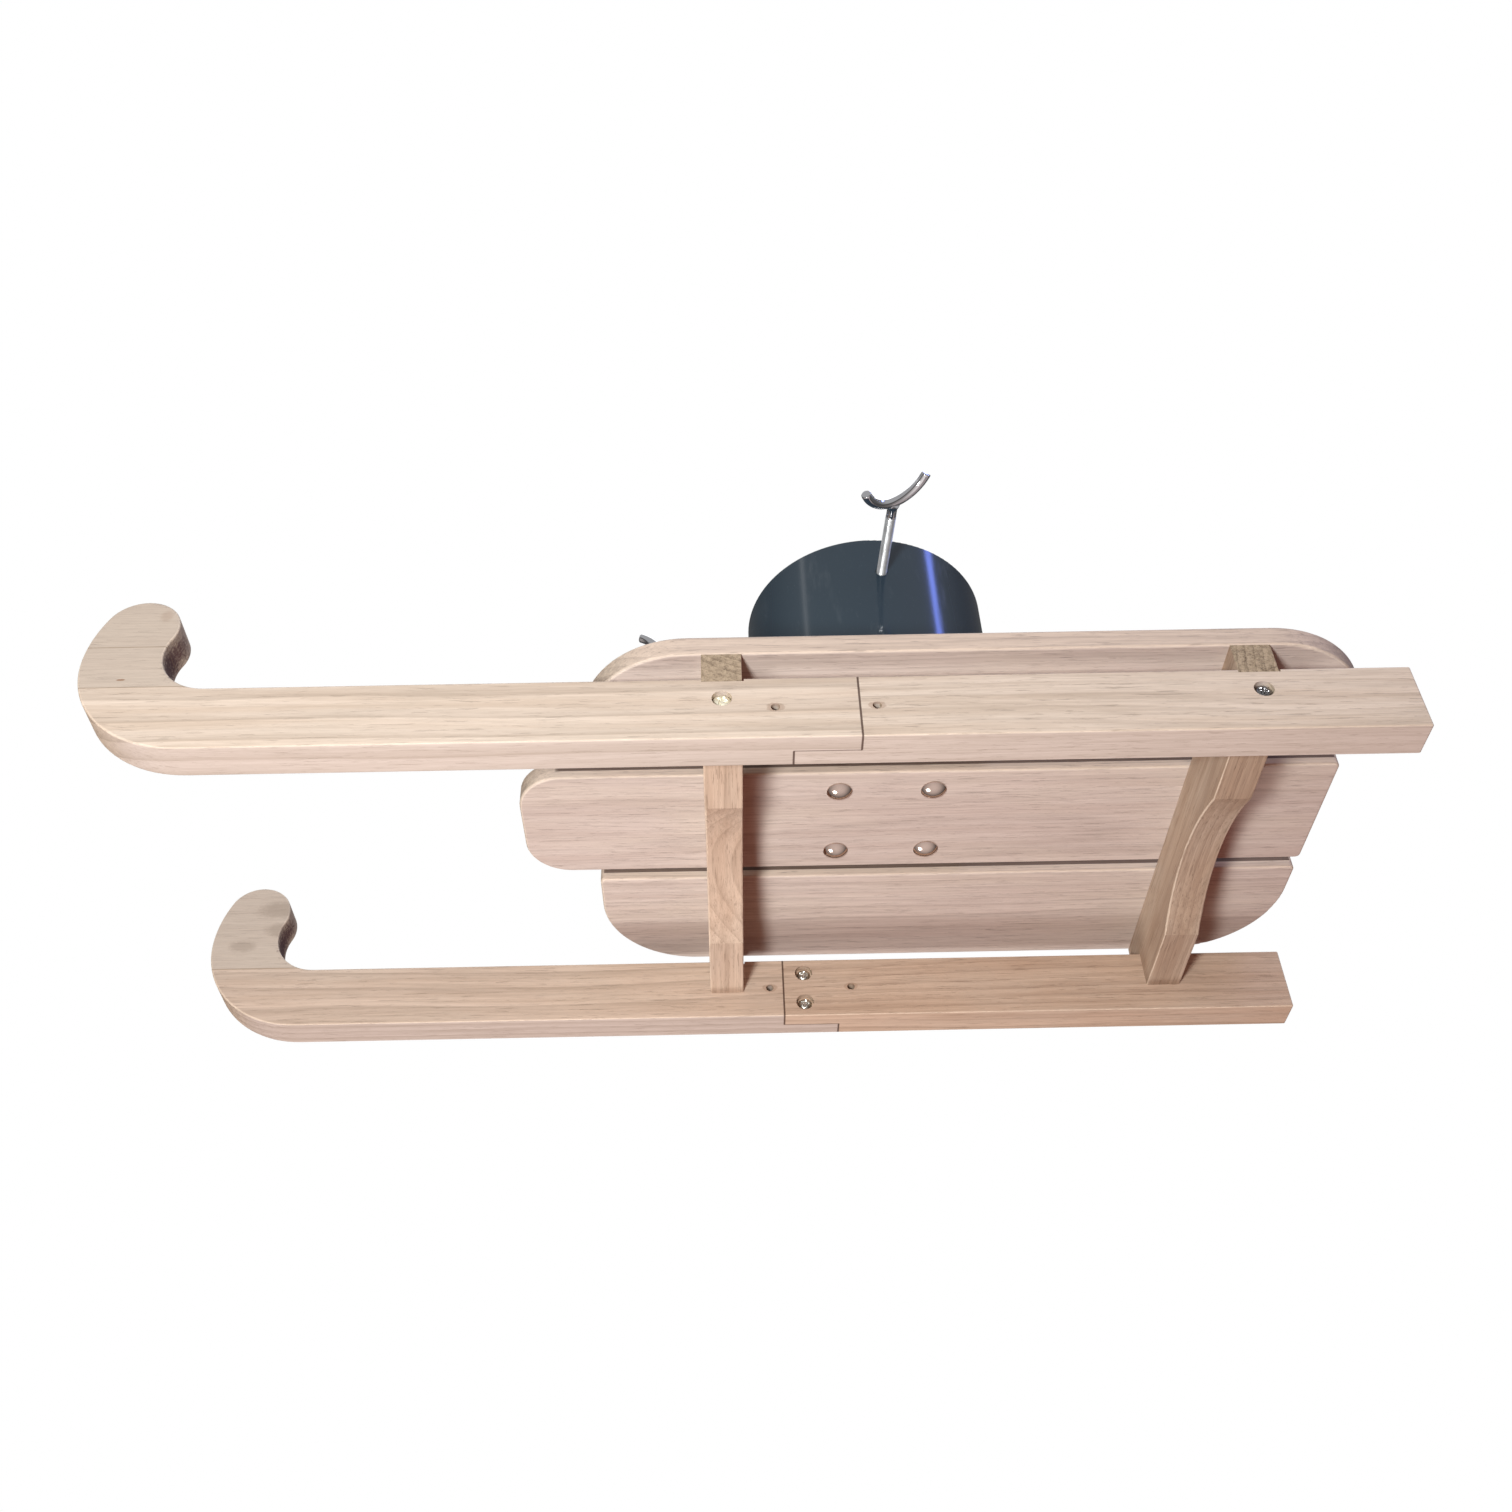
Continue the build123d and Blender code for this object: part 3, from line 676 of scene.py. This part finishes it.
def corners_of(node):
    return np.array([corner.co for corner in nodes[node].data.vertices])


print("points of the cup in the CAD model:", len(corners_of("tree_cup")))

# %% [markdown]
# ## Threads and bent tubes
# A clamp screw is a chromed rod with a half-ring to turn it by. Its thread is a real one: going
# round the rod, the groove climbs by one pitch a turn. A helix could be swept and cut out of
# the rod, but a ring of points whose radius depends on height minus the climb gives the same,
# as one surface with no seam. A bent tube makes the handle.

# %% Thread and handle shapes
PITCH = 1.0 * MM             # climb of the clamp screws and the cup bolts in a turn
THREAD_DEPTH = 0.55 * MM


def threaded(radius, bottom, top, depth=THREAD_DEPTH, samples=10, around=28, pitch=PITCH):
    """Rings of a threaded rod round the Z axis, with a number of samples to a pitch.

    The radius is radius - depth * groove, and groove is a triangle wave of
    (height - climb) / pitch, flattened at the crests and faded out over the last turn.
    """
    rows = int(round((top - bottom) / pitch * samples)) + 1
    height = np.linspace(bottom, top, rows)[:, None]
    angle = np.linspace(0, 2 * np.pi, around, endpoint=False)[None, :]
    phase = height / pitch - angle / (2 * np.pi)
    wave = np.abs(2 * (phase - np.floor(phase)) - 1)
    groove = np.clip(wave * 1.3 - 0.15, 0, 1)
    fade = np.clip(np.minimum(height - bottom, top - height) / pitch, 0, 1)
    return spun(radius - depth * groove * fade, height, around)


def bent_tube(radius, bend_radius, half_angle, end_ease, around=24, steps=48):
    """Rings of a tube bent into an arc that opens upwards from the origin, with eased ends.

    The middle line is (R sin a, 0, R - R cos a). Near each end the ring shrinks along a
    quarter circle, r = radius - ease + sqrt(ease^2 - (ease - s)^2), s being the way to the end.
    """
    total = 2 * half_angle * bend_radius
    eased = end_ease * (1 - np.cos(np.linspace(0, np.pi / 2, 6)))
    straight = np.linspace(end_ease, total - end_ease, steps)[1:-1]
    way = np.concatenate([eased, straight, total - eased[::-1]])
    near_end = np.minimum(way, total - way).clip(0, end_ease)
    ring_radius = radius - end_ease + np.sqrt(end_ease**2 - (end_ease - near_end) ** 2)
    bend = (way - total / 2) / bend_radius
    spin = np.linspace(0, 2 * np.pi, around, endpoint=False)[None, :, None]
    middle_line = np.stack([bend_radius * np.sin(bend), 0 * bend, bend_radius * (1 - np.cos(bend))], -1)
    outwards = np.stack([-np.sin(bend), 0 * bend, np.cos(bend)], -1)
    round_it = np.cos(spin) * outwards[:, None] + np.sin(spin) * np.array([0.0, 1.0, 0.0])
    return middle_line[:, None] + ring_radius[:, None, None] * round_it


print("rings in 10 mm of thread:", len(threaded(3 * MM, 0.0, 10 * MM)))

# %% [markdown]
# ## The clamp screws
# Four screws come through the cup and grip the tree's trunk. Each is a handle welded to a smooth
# neck, a long thread and a thin spigot that turns in the rubber foot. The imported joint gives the
# line that each turns about, and the far end of the CAD screw gives how far out it stands. The
# handles stand at odd angles, as they are left when somebody stops turning.

# %% Clamp screws
ROD = 3.0 * MM               # thread's outer radius
NECK, NECK_END = 2.85 * MM, -9.8 * MM
WELD = 4.1 * MM              # flare where the rod meets the handle
HANDLE_ROD, HANDLE_BEND = 2.8 * MM, 22.5 * MM
HANDLE_HALF_ANGLE = math.radians(65)
HANDLE_EASE = 0.8 * MM
SHOULDER = -71 * MM
SPIGOT, SPIGOT_END = 2 * MM, -74 * MM
HANDLE_TURN = {"left": 30, "front": 102, "right": 150, "rear": 48}   # degrees about the screw

joints = {joint["name"]: joint for joint in frame["joints"]}
handle = bent_tube(HANDLE_ROD, HANDLE_BEND, HANDLE_HALF_ANGLE, HANDLE_EASE)
smooth_rod = turned([
    (NECK, NECK_END), (NECK, -4.6 * MM), (NECK + 0.2 * MM, -3.6 * MM), (WELD - 0.5 * MM, -2.4 * MM),
    (WELD - 0.3 * MM, -1.6 * MM), (1.5 * MM, 0.0),
], 28)
rod = threaded(ROD, SHOULDER, NECK_END + 0.1 * MM)
spigot = turned([(SPIGOT, SPIGOT_END), (SPIGOT, SHOULDER + 0.2 * MM)], 28)
for side, degrees in HANDLE_TURN.items():
    node = f"clamp_screw_{side}"
    joint = joints[f"{side}_clamp_turn"]
    out, centre = -Vector(joint["axis"]), Vector(joint["pos_m"])
    reach = ((corners_of(node) - np.array(centre)) @ np.array(out)).min() - SPIGOT_END
    tilt = math.radians(degrees)
    upwards = Vector((0, 0, 1))
    across = upwards.cross(out) * math.cos(tilt) + upwards * math.sin(tilt)
    stacks = [placed(rings, centre + out * reach, across, out) for rings in (handle, smooth_rod, rod, spigot)]
    build(f"{node}_threaded", stacks, node, node, [chrome, thread_zinc], choose=[0, 0, 1, 1])

# %% [markdown]
# ## Shapes of bolts and nuts
# The bolts have a low domed head under the deck, a square neck that keeps them from turning, and
# come up through the floor of the cup. A nut is a hoop whose outside is the smaller of a
# hexagon and a cone, which gives the arcs that chamfering leaves on its corners with no
# cutting. The places come from the CAD pieces: their points are parted wherever they leave a gap.

# %% Bolt, nut and how to find them
def parted(points, axis, gap=4 * MM):
    """Groups of points, parted wherever they leave a gap along an axis."""
    order = points[np.argsort(points[:, axis])]
    return np.split(order, np.flatnonzero(np.diff(order[:, axis]) > gap) + 1)


def middle(points):
    return (points.min(0) + points.max(0)) / 2


def domed_head(width, height, rim):
    """Profile of a low dome below Z = 0: part of a circle through its edge and its top."""
    edge = 0.15 * MM
    rise = height - rim
    bend = ((width / 2) ** 2 + rise**2) / (2 * rise)
    angle = np.linspace(0.0, math.asin(width / 2 / bend), 14)[1:]
    dome = np.stack([bend * np.sin(angle), -height + bend * (1 - np.cos(angle))], -1)
    return [(edge, -height)] + dome.tolist() + [(width / 2, -edge), (width / 2 - edge, 0.0)]


def many_sided(sides, flats, angle):
    """Radius of a regular polygon with a corner at angle 0: flats / 2 / cos(angle from the flat)."""
    return flats / 2 / np.cos(np.abs(angle % (2 * np.pi / sides) - np.pi / sides))


def square_neck(side, corner, height, top, around=32):
    """Rings of a square whose corners are cut by a circle, drawn in to a smaller circle on top."""
    angle = np.linspace(0, 2 * np.pi, around, endpoint=False)[None, :]
    radius = np.minimum(many_sided(4, side, angle), corner)
    lift = np.array([0.0, 0.9, 1.0])[:, None] * height
    return spun(np.concatenate([radius, radius, np.minimum(radius, top)]), lift, around)


def nut_hoop(flats, bore, thickness, around=72):
    """Rings round the section of a nut that stands on Z = 0.

    Outside, the radius is the smaller of the hexagon's and a cone that starts 4% inside the
    flats at each end.
    """
    angle = np.linspace(0, 2 * np.pi, around, endpoint=False)[None, :]
    lift = np.array([0, 0.03, 0.08, 0.15, 0.3, 0.7, 0.85, 0.92, 0.97, 1])[:, None] * thickness
    from_end = np.minimum(lift, thickness - lift)
    outside = np.minimum(many_sided(6, flats, angle), flats / 2 * 0.96 + from_end * 1.9)
    inside = bore + 0.35 * MM * np.clip(1 - from_end / (0.08 * thickness), 0, 1)
    radius = np.concatenate([outside, inside[::-1] + 0 * angle, outside[:1]])
    return spun(radius, np.concatenate([lift, lift[::-1], lift[:1]]), around)


print("bolts found in the CAD piece:", sum(len(parted(row, 1)) for row in parted(corners_of("cup_bolts"), 0)))

# %% [markdown]
# ## Cup bolts and nuts
# Four bolts hold the cup: their heads show under the deck and their nuts stand in the cup. Four
# more nuts, inside the cup's wall, carry the clamp screws. A bolt's place is the middle of its
# own CAD points, and a clamp nut's is where the CAD nut ends along the screw.

# %% Place bolts and nuts
NUT_FLATS, NUT_BORE, NUT_THICK = 10 * MM, 3.05 * MM, 5 * MM
HEAD_WIDTH, HEAD_HEIGHT, HEAD_RIM = 14 * MM, 3.4 * MM, 0.7 * MM
up = np.array((0.0, 0.0, 1.0))
level = np.array((1.0, 1.0, 0.0))
deck_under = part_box("deck_slat_middle")[0][2]
bolt_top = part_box("cup_bolts")[1][2] - deck_under
bolt_parts = [
    (turned(domed_head(HEAD_WIDTH, HEAD_HEIGHT, HEAD_RIM), 48), (1, 0, 0)),
    (square_neck(6 * MM, 4 * MM, 4 * MM, 3.2 * MM), (1, 1, 0)),
    (threaded(ROD, 3.5 * MM, bolt_top), (1, 0, 0)),
]
stacks = [
    placed(rings, middle(bolt) * level + up * deck_under, turn, up)
    for row in parted(corners_of("cup_bolts"), 0) for bolt in parted(row, 1) for rings, turn in bolt_parts
]
build("cup_bolts_domed", stacks, "root", "cup_bolts", [nickel])

nut = nut_hoop(NUT_FLATS, NUT_BORE, NUT_THICK)
stacks = [
    placed(nut, middle(one) - up * NUT_THICK / 2, (1, 0, 0), up)
    for row in parted(corners_of("cup_nuts"), 0) for one in parted(row, 1)
]
build("cup_nuts_chamfered", stacks, "root", "cup_nuts", [zinc])

nut_corners = corners_of("clamp_nuts")
stacks = []
for side in HANDLE_TURN:
    joint = joints[f"{side}_clamp_turn"]
    out, start = -np.array(joint["axis"]), np.array(joint["pos_m"])
    along = (nut_corners - start) @ out
    aside = np.linalg.norm(nut_corners - start - along[:, None] * out, axis=1)
    outer_end = along[(aside < NUT_FLATS * 0.7) & (along > 0)].max()
    stacks.append(placed(nut, start + out * (outer_end - NUT_THICK), np.cross(up, out), out))
build("clamp_nuts_chamfered", stacks, "root", "clamp_nuts", [zinc])

# %% [markdown]
# ## Wood screws
# Screws hold the laps, the beams and the slats. A screw's head is a height field round its
# middle, a dome less a cross, so the cross gets soft sides with no cutting. Nobody stops every
# screw at the same angle, so each gets a turn of its own from a seeded draw.

# %% A wood screw's shape
ARM_WIDTH, ARM_REACH, CROSS_DEPTH = 0.075, 0.3, 0.16         # the cross, as shares of the head
SCREW_PITCH, SCREW_DEPTH, SCREW_SAMPLES = 1.8 * MM, 0.5 * MM, 5


def wood_screw(head_d, head_h, shank_d, length, spin, around=48):
    """Rings of a wood screw along -Z, from the middle of its head to its tip.

    The head's height is h (0.3 + 0.7 (1 - (r / R)^2.4)) less a cross. An arm of the cross is
    1 within its half width and its reach, and slopes to 0 outside them. With no head height
    the head is sunk: flat on top, with a cone below.
    """
    edge = head_d / 2
    angle = np.linspace(0, 2 * np.pi, around, endpoint=False)[None, :]
    radius = np.linspace(0.04 * MM, edge - 0.12 * MM, 22)[:, None]
    x, y = radius * np.cos(angle + spin), radius * np.sin(angle + spin)
    width, reach = ARM_WIDTH * head_d, ARM_REACH * head_d
    arms = [
        np.clip((1.5 * width - np.abs(u)) / (0.8 * width), 0, 1)
        * np.clip((1.1 * reach - np.abs(v)) / (0.4 * reach), 0, 1)
        for u, v in ((x, y), (y, x))
    ]
    dome = head_h * (0.3 + 0.7 * (1 - (radius / edge) ** 2.4))
    head = spun(radius, dome - np.maximum(*arms) * CROSS_DEPTH * head_d, around)
    shank = shank_d / 2
    neck = -0.3 * MM if head_h else shank - edge
    rim = [(edge, head_h * 0.3 - 0.1 * MM), (edge, min(0.0, head_h - 0.3 * MM)), (shank, neck)]
    thread = threaded(
        shank, -length + shank_d, neck - 1 * MM, SCREW_DEPTH, SCREW_SAMPLES, around, SCREW_PITCH
    )[::-1]
    tip = turned([(shank * 0.5, -length + shank_d * 0.5), (0.1 * MM, -length)], around)
    return np.concatenate([head, turned(rim, around), thread, tip])


print("rings in a lap screw:", len(wood_screw(8 * MM, 3 * MM, 4 * MM, 14 * MM, 0.0)))

# %% [markdown]
# ## Where the screws go
# Two screws sit in counterbores in each lap, driven from the inner face. A round-headed screw
# goes through each runner into each beam's end, cream at the front and dark at the rear, and
# flat-headed screws, sunk in the deck, hold the slats down.

# %% Place the wood screws
LAP_HEAD, BEAM_HEAD, DECK_HEAD = 8 * MM, 9.2 * MM, 7.5 * MM
BEAM_HEAD_HEIGHT = 2.8 * MM
LAP_HEAD_HEIGHT = 3 * MM
rng = np.random.default_rng(11)
for side, way in (("left", 1.0), ("right", -1.0)):
    node = f"lap_screws_{side}"
    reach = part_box(node)
    head_y = (reach[1][1] if way > 0 else reach[0][1]) - way * LAP_HEAD_HEIGHT
    stacks = [
        placed(wood_screw(LAP_HEAD, LAP_HEAD_HEIGHT, 4 * MM, 14 * MM, rng.uniform(0, 3)),
               (middle(one)[0], head_y, middle(one)[2]), (1, 0, 0), (0, way, 0))
        for one in parted(corners_of(node), 2)
    ]
    build(f"{node}_crossed", stacks, "root", node, [zinc])

for end, plating in (("front", cream_zinc), ("rear", dark_steel)):
    node = f"beam_screws_{end}"
    low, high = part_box(node)
    centre = [(a + b) / 2 for a, b in zip(low, high)]
    stacks = [
        placed(wood_screw(BEAM_HEAD, BEAM_HEAD_HEIGHT, 4 * MM, 48 * MM, rng.uniform(0, 3)),
               (centre[0], head_y - way * BEAM_HEAD_HEIGHT, centre[2]), (1, 0, 0), (0, way, 0))
        for way, head_y in ((-1.0, low[1]), (1.0, high[1]))
    ]
    build(f"{node}_crossed", stacks, "root", node, [plating])
    node = f"deck_screws_{end}"
    stacks = [
        placed(wood_screw(DECK_HEAD, 0.0, 3.6 * MM, 35 * MM, rng.uniform(0, 3)),
               (*middle(one)[:2], one[:, 2].max()), (1, 0, 0), up)
        for one in parted(corners_of(node), 1)
    ]
    build(f"{node}_crossed", stacks, "root", node, [zinc])

# %% [markdown]
# ## Lamps
# The sled is shown from below, so its main lamp stands below it too, beyond the left runner and
# ahead of the beams. A small lamp near the sled gives shadows that widen towards the tail, which
# a far one would not. A weak fill lifts the right runner, a wide lamp overhead lights the deck,
# and two tall strips, one blue, are there for the reflections on the cup.

# %% Lamps
def softbox(name, at, towards, size, watts, tint=(1.0, 1.0, 1.0)):
    """A rectangular lamp at a point, aimed at another."""
    light = bpy.data.lights.new(name, "AREA")
    light.shape = "RECTANGLE"
    light.size, light.size_y = size
    light.energy = watts
    light.color = tint
    lamp = bpy.data.objects.new(name, light)
    lamp.location = at
    lamp.rotation_euler = (Vector(towards) - Vector(at)).to_track_quat("-Z", "Y").to_euler()
    bpy.context.scene.collection.objects.link(lamp)


COOL_WHITE = (0.96, 0.98, 0.965)
softbox("key", (-0.28, -0.79, -0.63), (0.04, 0.0, 0.05), (0.16, 0.16), 12.2, COOL_WHITE)
softbox("far_fill", (-0.36, 0.40, -0.90), (0.04, 0.1, 0.05), (0.3, 0.3), 5.2, COOL_WHITE)
softbox("overhead", (0.1, 0.2, 1.5), (0.0, 0.0, 0.05), (1.4, 1.0), 6)
softbox("blue_strip", (0.85, -0.35, 1.05), (0.1, 0.0, 0.12), (0.09, 0.9), 2.6, (0.2, 0.28, 1.0))
softbox("left_strip", (-0.68, -0.42, 1.0), (0.08, 0.0, 0.12), (0.05, 0.9), 0.15)
print("lamps:", len(bpy.data.lights))

# %% [markdown]
# ## The studio around it
# The room is the world's background. It is plain white where it is looked at, and much dimmer
# where it lights the sled, or the shadows would wash out. Its lower half is tinted like light
# that has bounced off warm wood. Metal and plastic mirror a third version with dark sides,
# because chrome needs something dark to look like chrome.

# %% World
WARM_SHADE, WARM_MIRROR, WHITE = (1.0, 0.34, 0.27, 1.0), (1.0, 0.93, 0.9, 1.0), (1.0, 1.0, 1.0, 1.0)
world = bpy.data.worlds.new("studio")
bpy.context.scene.world = world
sky = Finish("studio", world)
direction = sky.add("SeparateXYZ", {}, {0: sky.add("TexCoord").out("Generated")})
height = direction.out("Z") * 0.5 + 0.5                  # 0 straight down, 1 straight up
around_stops = [(0.0, 0.24), (0.42, 0.28), (0.5, 0.22), (0.62, 0.36), (1.0, 0.75)]
around_level = sky.add("ValToRGB", {"stops": around_stops}, {0: height})
below = 1.0 - sky.rise(height, 0.4, 0.5)
ambient = sky.mix(below, around_level, sky.mix(1.0, around_level, WARM_SHADE, "MULTIPLY"))
near_side = 1.0 - sky.rise(direction.out("Y"), -0.5, 0.3)
under_stops = [(0.0, 0.95), (0.1, 0.7), (0.24, 0.32), (0.38, 0.08), (0.5, 0.05)]
under_level = sky.add("ValToRGB", {"stops": under_stops}, {0: height})
mirrored = sky.mix(below, near_side * 0.3 + 0.1, sky.mix(1.0, under_level, WARM_MIRROR, "MULTIPLY"))
paths = sky.add("LightPath")
shown = sky.mix(paths.out("Is Glossy Ray"), ambient, mirrored)
shown = sky.mix(paths.out("Is Camera Ray"), shown, WHITE)
sky.add("OutputWorld", {}, {"Surface": sky.add("Background", {}, {"Color": shown, "Strength": 1.0})})
print("nodes in the world:", len(world.node_tree.nodes))

# %% [markdown]
# ## Floor
# The floor is a plain pale square, far below the sled so that the camera fits between them. It
# takes no part in lighting or mirroring, because the underside is lit by the world and the lamps.

# %% Floor
FLOOR_Z, FLOOR_HALF = -1.0, 9.0
ground = bpy.data.meshes.new("floor")
corners = np.array([[-1, -1], [1, -1], [1, 1], [-1, 1]]) * FLOOR_HALF
ground.from_pydata([(x, y, FLOOR_Z) for x, y in corners], [], [(0, 1, 2, 3)])
floor = bpy.data.objects.new("floor", ground)
bpy.context.scene.collection.objects.link(floor)
pale_floor = Finish("pale_floor")
ground.materials.append(pale_floor.principled(Base_Color=(0.86, 0.86, 0.86, 1.0), Roughness=0.9))
floor.visible_diffuse = floor.visible_glossy = False
print("floor at Z =", FLOOR_Z)

# %% [markdown]
# ## Camera
# The camera stands below the sled, on its left, and looks up at its underside by about 40
# degrees. Pointing it with a Track To constraint would lose its slight roll, so its three
# directions are worked out from the angles and put into its matrix.

# %% Camera
CAMERA_AT = (-0.010136, -0.665055, -0.495207)
ELEVATION, YAW, ROLL = 0.6912621, 0.0071028, -0.0229837      # radians
LENS, SENSOR = 36.4505, 36                                   # millimetres
SHIFT = 0.015748, 0.046288
level_ahead = Vector((math.sin(YAW), math.cos(YAW), 0.0))
ahead = level_ahead * math.cos(ELEVATION) + Vector((0.0, 0.0, math.sin(ELEVATION)))
level_right = Vector((math.cos(YAW), -math.sin(YAW), 0.0))
level_up = level_right.cross(ahead)
camera_right = level_right * math.cos(ROLL) + level_up * math.sin(ROLL)
camera_up = level_up * math.cos(ROLL) - level_right * math.sin(ROLL)
camera_data = bpy.data.cameras.new("camera")
camera_data.sensor_width = SENSOR
camera_data.lens = LENS
camera_data.shift_x, camera_data.shift_y = SHIFT
camera_data.clip_start = 0.01
camera = bpy.data.objects.new("camera", camera_data)
camera.matrix_world = Matrix((camera_right, camera_up, -ahead)).transposed().to_4x4()
camera.location = CAMERA_AT
bpy.context.scene.collection.objects.link(camera)
bpy.context.scene.camera = camera
bpy.context.scene.view_settings.view_transform = "Standard"
print("camera looks up by", round(math.degrees(ELEVATION), 1), "degrees")
